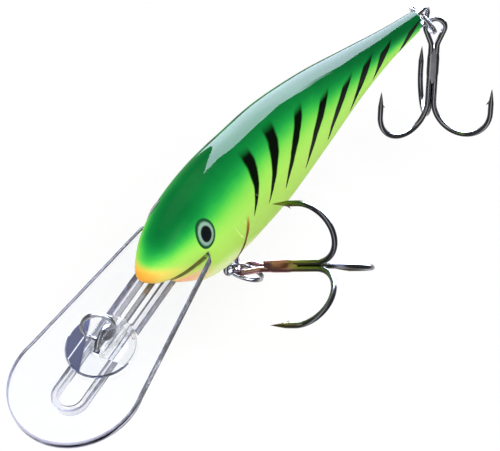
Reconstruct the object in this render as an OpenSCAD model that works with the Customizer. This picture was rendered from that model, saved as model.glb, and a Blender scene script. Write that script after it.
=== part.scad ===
// Deep-diving crankbait: a slim balsa body on a through-wire, a long clear lip that carries
// the line tie, and two treble hooks on split rings.
//
// +X runs to the nose, +Y to the fish's left, +Z to its back.
// The origin is the centre of the line-tie eye. Millimetres.

/* [Body] */
// Length of the wooden body, nose to tail
body_length = 70; // [56:1:90]
// Height of the back above the nose line
back_height = 10.1; // [8:0.1:13]
// Depth of the belly below the nose line
belly_depth = 8.9; // [7:0.1:12]
// Greatest width, across the gill plates
body_width = 11.3; // [9:0.1:15]
// Squareness of the cross-section, 2 for an ellipse
section_power = 2.15; // [2:0.05:3]
// Width of the slot sawn up the belly for the wire
slot_width = 1.2; // [1:0.1:1.6]

/* [Eyes] */
// Diameter of an inlaid eye
eye_diameter = 4.1; // [3:0.1:5]
// Thickness of an eye at its rim
eye_rim = 0.9; // [0.6:0.1:1.5]
// Rise of the eye's dome above its rim
eye_dome = 0.35; // [0.1:0.05:0.6]
// Place of the eye along the body, as a share of its length
eye_share = 0.13; // [0.1:0.005:0.17]
// Angle of the eye up the side of the head, from level
eye_angle = 30; // [15:1:45]

/* [Lip] */
// Slope of the lip below the body's line
lip_angle = 18.8; // [8:0.2:35]
// Distance of the lip's rear edge behind the nose
lip_root_back = 8.8; // [6:0.2:12]
// Height of the lip's rear edge above the nose line
lip_root_rise = 1; // [0:0.1:2]
// Length of the lip from its rear edge to its tip
lip_length = 34.8; // [26:0.2:42]
// Width across the rear corners
lip_root_width = 11.8; // [10:0.2:15]
// Width of the round front end
lip_front_width = 18.9; // [14:0.1:24]
// Thickness of the clear plate
lip_thickness = 1.1; // [0.9:0.1:1.3]
// Radius of the rear corners
lip_corner = 1.3; // [0.5:0.1:2.5]
// Length of the tongue glued into the head
tongue_length = 5.5; // [3:0.5:8]
// Width of the tongue
tongue_width = 7; // [6:0.2:9]

/* [Keel under the lip] */
// Width of the keel over its rails
keel_width = 5; // [4.4:0.1:7]
// Depth of the keel below the plate
keel_depth = 1.5; // [1.2:0.1:2]
// Distance of the keel's round front end along the lip
keel_reach = 29.4; // [26:0.2:32]
// Thickness of the front rail
rail_thickness = 0.65; // [0.4:0.05:1]
// Thickness of the stouter rails behind the button
rear_rail_thickness = 1.05; // [0.6:0.05:1.3]
// Distance along the lip where the stouter rails end
rear_rail_reach = 15.4; // [13:0.2:17]

/* [Line tie] */
// Distance of the line-tie eye along the lip
line_tie_reach = 18; // [15:0.2:21]
// Radius of the line-tie eye at the middle of its wire
line_loop_radius = 1.9; // [1.75:0.05:2.4]
// Diameter of the through-wire
wire = 0.8; // [0.6:0.05:0.9]
// Height of the wire's straight run above the nose line
wire_height = 1.3; // [0.8:0.1:2]
// Radius of the wire's bend where it levels out in the head
wire_bend = 6; // [3:0.5:12]
// Diameter of the clear button round the line-tie eye
button_diameter = 9.6; // [7:0.1:12]
// Thickness of the button
button_thickness = 0.7; // [0.5:0.05:0.8]
// Height of the button above the plate
button_proud = 0.2; // [0.1:0.05:0.3]
// Distance of the button's centre ahead of the eye
button_ahead = 1; // [0:0.1:2]

/* [Tail loop and belly hanger] */
// Radius of the tail loop at the middle of its wire
tail_loop_radius = 1.4; // [1.2:0.05:2]
// Distance of the tail loop's centre behind the body
tail_loop_back = 2.1; // [1.9:0.1:3]
// Distance of the belly hanger behind the nose
hanger_back = 21.3; // [18:0.1:26]
// Radius of the hanger's loop at the middle of its wire
hanger_loop_radius = 1.35; // [1.2:0.05:2]
// Distance of the hanger loop's centre below the belly
hanger_drop = 3.7; // [3:0.1:5]
// Diameter of the lead ballast
ballast_diameter = 5; // [4:0.1:6.5]
// Height of the lead ballast
ballast_height = 5.5; // [4:0.1:6.5]

/* [Split rings] */
// Outside diameter of the two hook rings
hook_ring_diameter = 5.6; // [5:0.1:7]
// Outside diameter of the line-tie ring
line_ring_diameter = 4.9; // [4.5:0.1:6]
// Radial width of the flattened ring wire
ring_width = 0.5; // [0.4:0.05:0.7]
// Thickness of a hook ring's two turns together
hook_ring_thickness = 0.7; // [0.5:0.05:0.9]
// Thickness of the line-tie ring's two turns together
line_ring_thickness = 0.7; // [0.5:0.05:0.9]

/* [Treble hooks] */
// Diameter of the hook wire
hook_wire = 0.85; // [0.7:0.05:1.1]
// Length of a treble, from the top of its eye to its bends
hook_length = 19.4; // [17:0.2:24]
// Radius of a bend at the middle of its wire
bend_radius = 4.6; // [3.6:0.1:5.2]
// Height of a point above the centre of its bend
point_height = 4.2; // [3:0.1:6]
// Length of the tapered point
point_taper = 2.2; // [1.5:0.1:3]
// Radius of the treble's eye at the middle of its wire
hook_eye_radius = 1.45; // [1.3:0.05:1.8]
// Length of the eye, from its top to where its two wires meet
hook_eye_length = 4.3; // [3.8:0.1:5.5]
// Length of the brazed stretch of the shank
braze_length = 6; // [4:0.1:7]

/* [Hidden] */

$fn = 48;
glue_gap = 0.05;
wire_gap = 0.1;
past = 1;

// Body outline: share of the length, then the shares of back_height, belly_depth and body_width
profile = [[0, 0, 0, 0], [0.03, 0.23, 0.22, 0.425], [0.08, 0.50, 0.50, 0.735],
           [0.15, 0.74, 0.82, 0.955], [0.24, 0.92, 1, 1], [0.34, 0.995, 0.985, 0.92],
           [0.45, 1, 0.89, 0.86], [0.6, 0.85, 0.62, 0.68], [0.75, 0.605, 0.345, 0.46],
           [0.88, 0.385, 0.21, 0.3], [1, 0.21, 0.185, 0.205]];
body_rings = 34;
body_sides = 32;

// The line-tie eye is centred in the plate's upper face, and its lower side runs under the plate
line_tie_at = lip_place(line_tie_reach, 0);
loop_slot = 2 * (line_loop_radius + wire_gap) + wire;

// The sloping run of the wire under the lip, and the bend that levels it in the head
slope_start = lip_place(line_tie_reach, -line_loop_radius);
slope_end_z = wire_height - wire_bend * (1 - cos(lip_angle));
slope_length = (slope_end_z - slope_start[2]) / sin(lip_angle);
slope_end = [slope_start[0] - slope_length * cos(lip_angle), 0, slope_end_z];
level_start = [slope_end[0] - wire_bend * sin(lip_angle), 0, wire_height];

tail_loop_at = [-body_length - tail_loop_back, 0, wire_height - tail_loop_radius];
tail_start = [tail_loop_at[0], 0, wire_height];
belly_at_hanger = -belly_depth * column_at(sqrt(hanger_back / body_length), 2);
hanger_at = [-hanger_back, 0, belly_at_hanger - hanger_drop];
hanger_neck = hanger_loop_radius + 2.6;
hanger_leg = 0.53 * wire;
ballast_top = belly_at_hanger + ballast_height;
leg_top = ballast_top - 1;

hook_ring_radius = (hook_ring_diameter - ring_width) / 2;
shank_spread = 0.53 * hook_wire;
single_back = sqrt(pow(1.03 * hook_wire, 2) - pow(shank_spread, 2));
bend_z = -(hook_length - hook_wire - bend_radius);
braze_top = -hook_eye_length - 0.6;

// How the rings and trebles lie: turns about X, Y and Z, and each treble's place round its ring,
// gap inside it and lift off its plane
line_ring_from = [0.4, 0.71];
line_ring_turn = [-87, 284, -61];
tail_ring_turn = [42, 48, -152];
tail_hook_turn = [9, -3, -50];
tail_hook_place = -110;
tail_hook_gap = 0.54;
tail_hook_lift = 1.48;
belly_ring_turn = [129, 41, 132];
belly_hook_turn = [-114, 6, -179];
belly_hook_place = 169;
belly_hook_gap = 0.55;
belly_hook_lift = 0;

wood = "yellowgreen";
steel = [0.78, 0.78, 0.8];
dark_steel = [0.25, 0.26, 0.29];
clear = [0.9, 0.95, 1, 0.4];

// ---------- Outline functions ----------

function knot(i) = sqrt(profile[i][0]);

// Slope of one profile column at knot i
function slope(i, column) =
    let (low = max(i - 1, 0), high = min(i + 1, len(profile) - 1))
    (profile[high][column] - profile[low][column]) / (knot(high) - knot(low));

function span_of(q, i = 0) = i >= len(profile) - 2 || q <= knot(i + 1) ? i : span_of(q, i + 1);

// Smooth curve through one profile column, at q = the square root of the share of length
function column_at(q, column) =
    let (i = span_of(q), width = knot(i + 1) - knot(i), t = (q - knot(i)) / width)
    profile[i][column] * (2 * pow(t, 3) - 3 * pow(t, 2) + 1)
    + slope(i, column) * width * (pow(t, 3) - 2 * pow(t, 2) + t)
    + profile[i + 1][column] * (3 * pow(t, 2) - 2 * pow(t, 3))
    + slope(i + 1, column) * width * (pow(t, 3) - pow(t, 2));

function squarish(v) = sign(v) * pow(abs(v), 2 / section_power);

// Point on the body's skin, behind the nose
function skin(q, angle) =
    let (top = back_height * column_at(q, 1), bottom = -belly_depth * column_at(q, 2))
    [-q * q * body_length,
     body_width / 2 * column_at(q, 3) * squarish(cos(angle)),
     (top + bottom) / 2 + (top - bottom) / 2 * squarish(sin(angle))];

// Outward direction of the skin on the left flank
function skin_normal(q, angle) =
    let (round = skin(q, angle + 1) - skin(q, angle - 1),
         along = skin(q - 0.01, angle) - skin(q + 0.01, angle),
         n = cross(along, round))
    n / norm(n) * sign(n[1]);

// Place on the lip, from its distance along the plate and its height above the upper face
function lip_place(along, height) =
    [-lip_root_back + along * cos(lip_angle) + height * sin(lip_angle), 0,
     lip_root_rise - along * sin(lip_angle) + height * cos(lip_angle)];

// A vector turned about X, then Y, then Z, as rotate() does
function turn_x(v, a) = [v[0], v[1] * cos(a) - v[2] * sin(a), v[1] * sin(a) + v[2] * cos(a)];
function turn_y(v, a) = [v[0] * cos(a) + v[2] * sin(a), v[1], v[2] * cos(a) - v[0] * sin(a)];
function turn_z(v, a) = [v[0] * cos(a) - v[1] * sin(a), v[0] * sin(a) + v[1] * cos(a), v[2]];
function turned(v, turn) = turn_z(turn_y(turn_x(v, turn[0]), turn[1]), turn[2]);

// Centre of a ring whose wire passes through at
function ring_centre(at, turn, radius) = at + turned([radius, 0, 0], turn);

// Top of a treble's eye, hung inside its ring
function hook_top(at, ring_turn, place, gap, lift) =
    let (reach = hook_ring_radius - (ring_width + hook_wire) / 2 - gap)
    ring_centre(at, ring_turn, hook_ring_radius)
    + turned([reach * cos(place), reach * sin(place), lift], ring_turn);

// A loop stops just short of the straight wire it springs from
function loop_sweep(radius) = 360 - acos(1 - (wire + wire_gap) / radius);

// ---------- Frames ----------

// The nose's tip, seen from the line-tie eye
module from_nose() {
    translate(-line_tie_at) children();
}

// X along the lip, Z out of its upper face, from the middle of its rear edge
module on_lip() {
    translate([-lip_root_back, 0, lip_root_rise]) rotate([0, lip_angle, 0]) children();
}

// ---------- Shared shapes ----------

// The body's outer shape, nose at the origin
module body_solid() {
    points = [[0, 0, 0],
              for (i = [1:body_rings], j = [0:body_sides - 1])
                  skin(i / body_rings, 360 * j / body_sides)];
    function at(i, j) = 1 + (i - 1) * body_sides + j % body_sides;
    nose_faces = [for (j = [0:body_sides - 1]) [0, at(1, j), at(1, j + 1)]];
    side_faces = [for (i = [1:body_rings - 1], j = [0:body_sides - 1], half = [0, 1])
                  half == 0 ? [at(i, j), at(i + 1, j), at(i + 1, j + 1)]
                            : [at(i, j), at(i + 1, j + 1), at(i, j + 1)]];
    tail_face = [for (j = [body_sides - 1:-1:0]) at(body_rings, j)];
    polyhedron(points, concat(nose_faces, side_faces, [tail_face]));
}

// A straight wire from a to b, in the XZ plane
module wire_run(a, b, diameter) {
    along = b - a;
    translate(a) rotate([0, atan2(along[0], along[2]), 0]) cylinder(h = norm(along), d = diameter);
}

// An arc of wire about the Y axis; angles run from +X towards +Z
module wire_arc(radius, start, sweep, diameter) {
    rotate([90, 0, 0]) rotate([0, 0, start])
        rotate_extrude(angle = sweep) translate([radius, 0]) circle(d = diameter);
}

// The joint between two lengths of wire, a hair fuller than the wire
module wire_joint(at, diameter) {
    translate(at) sphere(d = 1.04 * diameter);
}

// A teardrop eye hanging down Z from the top of its wire to the neck where its two sides meet
module wire_eye(radius, neck, spread, diameter) {
    drop = neck - radius;
    side = acos(radius / norm([spread, drop])) - atan2(drop, spread);
    foot = [spread, 0, -neck];
    touch = [radius * cos(side), 0, -radius + radius * sin(side)];
    translate([0, 0, -radius]) wire_arc(radius, side, 180 - 2 * side, diameter);
    for (flip = [0, 1]) mirror([flip, 0, 0]) {
        wire_run(foot, touch, diameter);
        wire_joint(touch, diameter);
        wire_joint(foot, diameter);
    }
}

// A slab in the plane of the wire, from the belly up to a height
module slot_slab(front, rear, top, width) {
    translate([-rear, -width / 2, -belly_depth - past])
        cube([rear - front, width, top + belly_depth + past]);
}

// The lip's plate outline: rear corners and round front, and sides that bite a little into both
module lip_plan() {
    front = lip_front_width / 2;
    centre = [lip_length - front, 0];
    corner = [lip_corner, lip_root_width / 2 - lip_corner];
    run = centre - corner;
    edge = atan2(run[1], run[0]) + acos((lip_corner - front) / norm(run));
    bite = 6;
    near = corner + lip_corner * [cos(edge + bite), sin(edge + bite)];
    far = centre + front * [cos(edge - bite), sin(edge - bite)];
    polygon([[0, -corner[1]], [0, corner[1]], near, far, centre, [far[0], -far[1]],
             [near[0], -near[1]]]);
    translate(centre) circle(front, $fn = 96);
    for (side = [-1, 1]) translate([corner[0], side * corner[1]]) circle(lip_corner);
    translate([-tongue_length, -tongue_width / 2]) square([tongue_length + lip_corner, tongue_width]);
}

// The keel's outline under the plate, drawn in from its outer line by inset
module keel_plan(inset, rear) {
    half = keel_width / 2 - inset;
    reach = keel_reach - keel_width / 2;
    translate([rear, -half]) square([reach - rear, 2 * half]);
    translate([reach, 0]) circle(half);
}

// Split ring: two flat turns with the seam between them, and the two ends of the wire
module split_ring(diameter, thickness) {
    outer = diameter / 2;
    inner = outer - ring_width;
    half = thickness / 2;
    seam = 0.05;
    seam_depth = 0.15;
    end_gap = 0.25;
    end_turn = 35;
    difference() {
        rotate_extrude()
            polygon([[inner, -half], [outer, -half], [outer, -seam], [outer - seam_depth, 0],
                     [outer, seam], [outer, half], [inner, half]]);
        for (side = [0, 1])
            rotate([180 * side, 0, end_turn * side])
                translate([-outer - past, -end_gap / 2, seam])
                    cube([ring_width + 2 * past, end_gap, half]);
    }
}

// One hook in the XZ plane: its shank comes down Z from top to the bend, point and barb
module hook(top) {
    span = 2 * bend_radius;
    shaft = point_height - point_taper;
    tip = 0.06;
    barb_reach = 0.75;
    barb_root = 0.1;
    barb_rise = 0.5;
    barb_width = 0.28;
    translate([0, 0, bend_z]) cylinder(h = top - bend_z, d = hook_wire);
    translate([bend_radius, 0, bend_z]) wire_arc(bend_radius, 180, 180, hook_wire);
    translate([span, 0, bend_z]) cylinder(h = shaft, d = hook_wire);
    translate([span, 0, bend_z + shaft]) {
        cylinder(h = point_taper, d1 = hook_wire, d2 = tip);
        translate([0, barb_width / 2, 0]) rotate([90, 0, 0]) linear_extrude(barb_width)
            polygon([[-barb_root, barb_rise], [-barb_reach, -0.75 * barb_rise], [-barb_root, -barb_rise]]);
    }
}

// The double hook: one wire bent into the eye, two shanks and two hooks 120 degrees apart
module double_hook() {
    wire_eye(hook_eye_radius, hook_eye_length, shank_spread, hook_wire);
    for (flip = [0, 1]) mirror([flip, 0, 0])
        translate([shank_spread, 0, 0]) rotate([0, 0, 30]) hook(-hook_eye_length);
}

// The single hook, brazed into the groove behind the double one
module single_hook() {
    translate([0, -single_back, 0]) rotate([0, 0, -90]) hook(-hook_eye_length - 0.4);
}

// Brazing metal round the three shanks and in the grooves between them
module braze_fill() {
    skin_radius = hook_wire / 2 + 0.07;
    shanks = [[shank_spread, 0], [-shank_spread, 0], [0, -single_back]];
    translate([0, 0, braze_top - braze_length]) linear_extrude(braze_length) difference() {
        union() {
            polygon(shanks);
            for (i = [0:2]) {
                next = shanks[(i + 1) % 3] - shanks[i];
                translate(shanks[i]) circle(skin_radius);
                translate(shanks[i]) rotate(atan2(next[1], next[0])) square([norm(next), skin_radius]);
            }
        }
        for (at = shanks) translate(at) circle(d = hook_wire);
    }
}

// A split ring whose wire passes through at
module ring_on(at, turn, diameter, thickness) {
    color(steel) from_nose() translate(ring_centre(at, turn, (diameter - ring_width) / 2)) rotate(turn)
        split_ring(diameter, thickness);
}

// A treble part, hung by its eye in a ring
module hook_on(at, ring_turn, place, gap, lift, turn) {
    color(dark_steel) from_nose() translate(hook_top(at, ring_turn, place, gap, lift)) rotate(turn)
        children();
}

// ---------- Lure body ----------

// Head slot that takes the lip: full width ahead of the rear edge, tongue-wide behind it
module lip_socket() {
    low = -lip_thickness - glue_gap;
    high = lip_thickness + 2 * glue_gap;
    tongue_back = -tongue_length - glue_gap;
    on_lip() {
        translate([-glue_gap, -body_width, low]) cube([lip_length, 2 * body_width, high]);
        translate([tongue_back, -tongue_width / 2 - glue_gap, low])
            cube([lip_length, tongue_width + 2 * glue_gap, high]);
        translate([tongue_back, -keel_width / 2 - glue_gap, low - keel_depth])
            cube([lip_length, keel_width + 2 * glue_gap, keel_depth + high]);
    }
}

// Frame of one eye, square to the skin of the left flank
module eye_place() {
    q = sqrt(eye_share);
    n = skin_normal(q, eye_angle);
    translate(skin(q, eye_angle)) rotate([0, acos(n[2]), atan2(n[1], n[0])]) children();
}

// The pocket drilled in the belly, or the lead in it
module ballast_rod(gap) {
    translate([-hanger_back, 0, -belly_depth - past])
        cylinder(h = ballast_top + belly_depth + past + gap, d = ballast_diameter + 2 * gap);
}

module hanger_legs() {
    foot = hanger_at[2] - hanger_loop_radius + hanger_neck;
    for (side = [-1, 1])
        translate([-hanger_back + side * hanger_leg, 0, foot]) cylinder(h = leg_top - foot, d = wire);
}

module balsa_body() {
    color(wood) from_nose() difference() {
        body_solid();
        slot_slab(lip_root_back - past, body_length + past, wire_height + wire / 2 + glue_gap, slot_width);
        lip_socket();
        ballast_rod(glue_gap);
        for (side = [0, 1]) mirror([0, side, 0]) eye_place()
            translate([0, 0, -eye_rim - glue_gap])
                cylinder(h = eye_rim + past, d = eye_diameter + 2 * glue_gap);
    }
}

// Wood let into the slot under the wire, between two distances behind the nose
module slot_filler(front, rear) {
    color("beige") from_nose() difference() {
        intersection() {
            body_solid();
            slot_slab(front, rear, wire_height - wire / 2 - glue_gap, slot_width - 2 * glue_gap);
        }
        on_lip() translate([-lip_length, -slot_width, -lip_thickness - keel_depth - glue_gap])
            cube([2 * lip_length, 2 * slot_width, lip_length]);
    }
}

module slot_filler_front() {
    slot_filler(lip_root_back - past + glue_gap, hanger_back - ballast_diameter / 2 - 2 * glue_gap);
}

module slot_filler_rear() {
    slot_filler(hanger_back + ballast_diameter / 2 + 2 * glue_gap, body_length + past);
}

module through_wire() {
    color(steel) from_nose() {
        translate(line_tie_at) rotate([0, lip_angle, 0])
            wire_arc(line_loop_radius, -90, loop_sweep(line_loop_radius), wire);
        wire_run(slope_start, slope_end, wire);
        translate([level_start[0], 0, wire_height - wire_bend])
            wire_arc(wire_bend, 90 - lip_angle, lip_angle, wire);
        wire_run(tail_start, level_start, wire);
        for (at = [slope_start, slope_end, level_start, tail_start]) wire_joint(at, wire);
        translate(tail_loop_at) wire_arc(tail_loop_radius, 90, loop_sweep(tail_loop_radius), wire);
    }
}

module belly_hanger() {
    color(steel) from_nose() {
        translate(hanger_at) rotate([180, 0, 0]) translate([0, 0, hanger_loop_radius])
            wire_eye(hanger_loop_radius, hanger_neck, hanger_leg, wire);
        hanger_legs();
    }
}

// Lead cast round the hanger's legs and filed flush with the belly
module ballast_weight() {
    color("dimgray") from_nose() difference() {
        intersection() {
            body_solid();
            ballast_rod(0);
        }
        hanger_legs();
    }
}

module eye_left() {
    dome_radius = (pow(eye_diameter / 2, 2) + pow(eye_dome, 2)) / (2 * eye_dome);
    color("white") from_nose() eye_place() {
        translate([0, 0, -eye_rim]) cylinder(h = eye_rim, d = eye_diameter);
        intersection() {
            cylinder(h = eye_dome, d = eye_diameter);
            translate([0, 0, eye_dome - dome_radius]) sphere(dome_radius);
        }
    }
}

module eye_right() {
    mirror([0, 1, 0]) eye_left();
}

// ---------- Lip ----------

// The slot through which the line-tie eye stands
module loop_opening() {
    depth = lip_thickness + keel_depth;
    translate([line_tie_reach - loop_slot / 2, -wire / 2 - wire_gap, -depth])
        cube([loop_slot, wire + 2 * wire_gap, depth + past]);
}

module button_place() {
    translate([line_tie_reach + button_ahead, 0, button_proud - button_thickness]) children();
}

module diving_lip() {
    color(clear) from_nose() on_lip() difference() {
        union() {
            translate([0, 0, -lip_thickness]) linear_extrude(lip_thickness) lip_plan();
            translate([0, 0, -lip_thickness - keel_depth]) linear_extrude(keel_depth) difference() {
                keel_plan(0, -tongue_length);
                keel_plan(rail_thickness, -tongue_length - past);
            }
            for (side = [0, 1]) mirror([0, side, 0])
                translate([-tongue_length, keel_width / 2 - rear_rail_thickness, -lip_thickness - keel_depth])
                    cube([tongue_length + rear_rail_reach, rear_rail_thickness, keel_depth]);
        }
        button_place() cylinder(h = button_thickness + past, d = button_diameter + 2 * glue_gap);
        loop_opening();
    }
}

module lip_button() {
    color(clear) from_nose() on_lip() difference() {
        button_place() cylinder(h = button_thickness, d = button_diameter);
        loop_opening();
    }
}

// ---------- Rings and trebles ----------

module line_tie_ring() {
    ring_on(lip_place(line_tie_reach + line_ring_from[0], line_ring_from[1]), line_ring_turn,
            line_ring_diameter, line_ring_thickness);
}

module belly_ring() {
    ring_on(hanger_at, belly_ring_turn, hook_ring_diameter, hook_ring_thickness);
}

module tail_ring() {
    ring_on(tail_loop_at, tail_ring_turn, hook_ring_diameter, hook_ring_thickness);
}

module on_belly_ring() {
    hook_on(hanger_at, belly_ring_turn, belly_hook_place, belly_hook_gap, belly_hook_lift,
            belly_hook_turn) children();
}

module on_tail_ring() {
    hook_on(tail_loop_at, tail_ring_turn, tail_hook_place, tail_hook_gap, tail_hook_lift,
            tail_hook_turn) children();
}

module belly_hook_double() {
    on_belly_ring() double_hook();
}

module belly_hook_single() {
    on_belly_ring() single_hook();
}

module belly_hook_braze() {
    on_belly_ring() braze_fill();
}

module tail_hook_double() {
    on_tail_ring() double_hook();
}

module tail_hook_single() {
    on_tail_ring() single_hook();
}

module tail_hook_braze() {
    on_tail_ring() braze_fill();
}

balsa_body();
slot_filler_front();
slot_filler_rear();
through_wire();
belly_hanger();
ballast_weight();
diving_lip();
lip_button();
eye_left();
eye_right();
line_tie_ring();
belly_ring();
tail_ring();
belly_hook_double();
belly_hook_single();
belly_hook_braze();
tail_hook_double();
tail_hook_single();
tail_hook_braze();
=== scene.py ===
"""A deep-diving crankbait: painted balsa body, clear diving lip, wire line tie, split rings
and two treble hooks. Lengths are millimetres from the nose's tip until a piece is finished."""

from functools import partial
from math import acos, atan2, copysign, cos, degrees, hypot, pi, radians, sin, sqrt, tan

import bmesh
import bpy
from mathutils import Euler, Matrix, Vector


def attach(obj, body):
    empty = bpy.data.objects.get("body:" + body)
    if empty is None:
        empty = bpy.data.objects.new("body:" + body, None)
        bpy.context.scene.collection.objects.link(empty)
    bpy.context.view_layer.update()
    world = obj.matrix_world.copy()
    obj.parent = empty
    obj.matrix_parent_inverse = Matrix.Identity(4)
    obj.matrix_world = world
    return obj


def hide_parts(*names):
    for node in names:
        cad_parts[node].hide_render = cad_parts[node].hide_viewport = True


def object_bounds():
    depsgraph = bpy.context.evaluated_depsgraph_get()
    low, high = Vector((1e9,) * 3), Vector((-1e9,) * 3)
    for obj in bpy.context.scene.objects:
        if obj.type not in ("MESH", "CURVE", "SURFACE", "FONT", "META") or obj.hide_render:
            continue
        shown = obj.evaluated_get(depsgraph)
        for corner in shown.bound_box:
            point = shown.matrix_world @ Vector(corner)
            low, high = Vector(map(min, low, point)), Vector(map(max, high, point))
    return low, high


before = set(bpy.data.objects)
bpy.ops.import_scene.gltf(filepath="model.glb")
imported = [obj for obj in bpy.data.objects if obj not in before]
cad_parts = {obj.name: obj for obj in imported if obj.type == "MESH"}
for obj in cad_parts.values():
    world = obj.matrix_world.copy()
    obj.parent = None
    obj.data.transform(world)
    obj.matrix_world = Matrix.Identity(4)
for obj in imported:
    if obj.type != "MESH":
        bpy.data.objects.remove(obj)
cad_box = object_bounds()
scene = bpy.context.scene

# ---------- Sizes, in mm ----------

MM = 0.001
UP = Vector((0, 0, 1))
NOSE = Vector((-8.2397, 0, 4.8009))  # the nose's tip, seen from the line-tie eye

BODY_LENGTH, BACK_HEIGHT, BELLY_DEPTH, BODY_WIDTH = 70, 10.1, 8.9, 11.3
SECTION_POWER = 2.15  # 2 is an ellipse, more is squarer
# Share of the length, then shares of the back's height, the belly's depth and the width
PROFILE = ((0, 0, 0, 0), (0.03, 0.23, 0.22, 0.425), (0.08, 0.50, 0.50, 0.735),
           (0.15, 0.74, 0.82, 0.955), (0.24, 0.92, 1, 1), (0.34, 0.995, 0.985, 0.92),
           (0.45, 1, 0.89, 0.86), (0.6, 0.85, 0.62, 0.68), (0.75, 0.605, 0.345, 0.46),
           (0.88, 0.385, 0.21, 0.3), (1, 0.21, 0.185, 0.205))
BODY_RINGS, BODY_SIDES = 280, 128
TAIL_BEVEL = 0.25

EYE_SHARE, EYE_TURN = 0.13, 30  # share of the length, and degrees up round the skin
EYE_RIM, EYE_DOME = 0.9, 0.15  # how deep it is let in, and how far it stands out
EYE_OVAL = (1.5, 2.08)  # half its length, half its height
EYE_BEND = (-0.027, 0.038, -0.068)  # how the skin falls away round it, by x², xy and y²
GILL_BACK, GILL_BOW, GILL_DEPTH = 17.8, 0.02, 0.5
GILL_RISE, GILL_FADE = 0.35, 6  # how soon the step is full, then how far it fades
GILL_TOP, GILL_BLEND = -0.5, 2.5  # where the step starts on the flank, and grows to full depth

LIP_TURN = radians(18.8)
LIP_ROOT = Vector((-8.8, 0, 1))
TONGUE_LENGTH, TONGUE_WIDTH, LIP_THICKNESS = 5.5, 7, 1.1
KEEL_WIDTH, KEEL_DEPTH, KEEL_REACH, RAIL_REACH = 5, 1.5, 29.4, 15.4
# Painted edge shade round the lip's faces: each face's height, and the line's width
LINE_WIDTHS = ((0, 0.22), (-LIP_THICKNESS, 0.13))
CLEAR_WITHIN = 5.2  # no painted edge shade this near the line tie
BUTTON_SMOKE, BUTTON_SCRATCH = 9.9, 2.87  # where the button's reflection and scratch lie
SLOT_REACH, SLOT_WIDTH = 34, 30  # the lip's slot is cut out past the head
GLUE_GAP = 0.05

WIRE, LOOP_GAP = 0.8, 0.1  # the gap is left where a loop closes on its own wire
TIE_REACH, TIE_RADIUS = 18, 1.9  # the line-tie eye, from the lip's root
WIRE_HEIGHT, WIRE_BEND = 1.3, 6  # the wire's level in the body, and its bend down to the lip
TAIL_RADIUS, TAIL_LOOP = 1.4, Vector((-72.1, 0, -0.1))
HANGER_RADIUS, HANGER_LOOP, HANGER_LEG = 1.35, Vector((-21.3, 0, -12.6296)), 0.424
HANGER_NECK = HANGER_RADIUS + 2.6
HANGER_ROOT = 4  # how deep its legs are cast in the ballast
BALLAST_RADIUS, BALLAST_TOP, BALLAST_FLOOR, BALLAST_BEVEL = 2.45, -3.43, -8.5, 0.3

SAME_PLACE = 0.01  # path points closer than this are one
RING_WIDTH, RING_THICKNESS = 0.5, 0.7
HOOK_RING, TIE_RING = 5.6 / 2, 4.9 / 2
TIE_RING_FROM = (0.4, 0.71)  # from the line tie, along the lip and above it
RING_STEP, RING_GAP, RING_ENDS = 40, 6, 155  # degrees: the step, half the gap, where they lie

HOOK_WIRE, HOOK_LENGTH, BEND_RADIUS = 0.85, 19.4, 4.6
POINT_HEIGHT, POINT_TAPER, POINT_TIP = 4.2, 2.6, 0.03
HOOK_EYE_RADIUS, HOOK_EYE_LENGTH, BRAZE_LENGTH = 1.45, 4.3, 6
SHANK_SPREAD = 0.53 * HOOK_WIRE  # half the space between the double hook's shanks
SINGLE_BACK = sqrt((1.03 * HOOK_WIRE) ** 2 - SHANK_SPREAD ** 2)
BEND_Z = -(HOOK_LENGTH - HOOK_WIRE - BEND_RADIUS)
BRAZE_TOP, BRAZE_SKIN = -HOOK_EYE_LENGTH - 0.6, 0.07
BRAZE_TAPER = ((0, 0.66), (0.4, 0.8), (1, 0.92), (1.8, 1))  # share of its width, from each end
EYE_NECK, NECK_BEND = 0.6, 0.5  # where the shanks start to open out into the eye
SINGLE_TOP = -HOOK_EYE_LENGTH - 0.65
BARB_ABOVE, BARB_BELOW = 0.5, -0.35  # from the foot of the point's taper
BARB_ROOT, BARB_OUT = 0.02, 0.8  # from the middle of the point's wire
BARB_RADII, BARB_FLATNESS = (0.3, 0.015), 0.5

# In metres. The floor leaves room for the front treble to hang down
FLOOR_DROP, LAMP_SIZE = 0.0132, 0.5


# ---------- The body's outline ----------

def column_at(q, column):
    """The smooth curve through one column of PROFILE, at q = the root of the share of length."""
    knots = [sqrt(row[0]) for row in PROFILE]
    last = len(knots) - 1
    i = next((k for k in range(last) if q <= knots[k + 1]), last - 1)

    def slope(k):
        low, high = max(k - 1, 0), min(k + 1, last)
        return (PROFILE[high][column] - PROFILE[low][column]) / (knots[high] - knots[low])

    width = knots[i + 1] - knots[i]
    t = (q - knots[i]) / width
    return (PROFILE[i][column] * (2 * t**3 - 3 * t**2 + 1)
            + slope(i) * width * (t**3 - 2 * t**2 + t)
            + PROFILE[i + 1][column] * (3 * t**2 - 2 * t**3)
            + slope(i + 1) * width * (t**3 - t**2))


def squarish(value, power=2 / SECTION_POWER):
    return copysign(abs(value) ** power, value)


def skin(q, turn):
    """A point on the body's skin; turn runs from the left flank over the back."""
    top, bottom = BACK_HEIGHT * column_at(q, 1), -BELLY_DEPTH * column_at(q, 2)
    return Vector((-q * q * BODY_LENGTH,
                   BODY_WIDTH / 2 * column_at(q, 3) * squarish(cos(turn)),
                   (top + bottom) / 2 + (top - bottom) / 2 * squarish(sin(turn))))


def eye_frame():
    """The left eye's frame, square to the skin."""
    q, turn = sqrt(EYE_SHARE), radians(EYE_TURN)
    round_it = skin(q, turn + 0.02) - skin(q, turn - 0.02)
    along = skin(q - 0.01, turn) - skin(q + 0.01, turn)
    out = along.cross(round_it).normalized()
    out *= copysign(1, out.y)
    return Matrix.Translation(skin(q, turn)) @ out.to_track_quat("Z", "Y").to_matrix().to_4x4()


# ---------- Places ----------

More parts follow.
